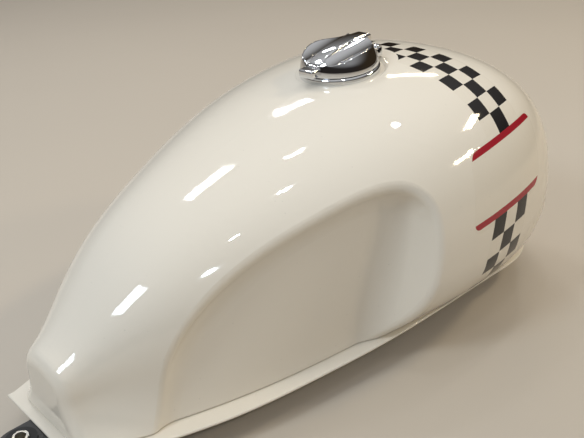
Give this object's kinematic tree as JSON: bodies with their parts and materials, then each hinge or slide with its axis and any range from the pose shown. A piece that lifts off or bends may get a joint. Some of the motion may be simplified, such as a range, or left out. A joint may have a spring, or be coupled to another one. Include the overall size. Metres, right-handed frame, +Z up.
{
  "type": "motorcycle fuel tank",
  "caption": "Teardrop motorcycle fuel tank with scooped knee recesses, seam flange, frame tunnel, chrome flip-up filler cap, rear bolt bracket and pump plate underneath.",
  "frame": {"origin": "middle of the rear bolt collar, on the bolt's axis", "axes": "+X towards the front of the motorcycle, +Y to its left, +Z up"},
  "size_m": [0.5897, 0.3368, 0.2629],
  "materials": {
    "paint": "gloss clear coat over warm white",
    "chrome": "mirror polish",
    "plated_steel": "zinc plate",
    "bracket_steel": "satin black",
    "black_plastic": "matte",
    "rubber": "matte"
  },
  "bodies": {
    "tank": {"tank_shell": "paint", "floor_pan": "paint", "rear_bracket": "bracket_steel", "rear_grommet": "rubber", "rear_collar": "plated_steel", "front_channel_left": "bracket_steel", "front_channel_right": "bracket_steel", "pump_plate": "plated_steel", "pump_clamp_ring": "plated_steel", "pump_nut_1": "plated_steel", "pump_nut_2": "plated_steel", "pump_nut_3": "plated_steel", "pump_nut_4": "plated_steel", "pump_nut_5": "plated_steel", "pump_nut_6": "plated_steel", "fuel_outlet": "plated_steel", "pump_connector": "black_plastic", "level_sender": "black_plastic", "breather_pipe": "plated_steel", "drain_pipe": "plated_steel", "filler_neck": "plated_steel", "cap_base_ring": "chrome", "cap_hinge_pin": "chrome"},
    "lid": {"cap_lid": "chrome", "cap_seal": "rubber"}
  },
  "joints": [
    {"name": "cap_hinge", "type": "hinge", "parent": "tank", "child": "lid", "pos_m": [0.39319, 0, 0.22397], "axis": [0, 1, 0], "range_deg": [0, 100]}
  ]
}
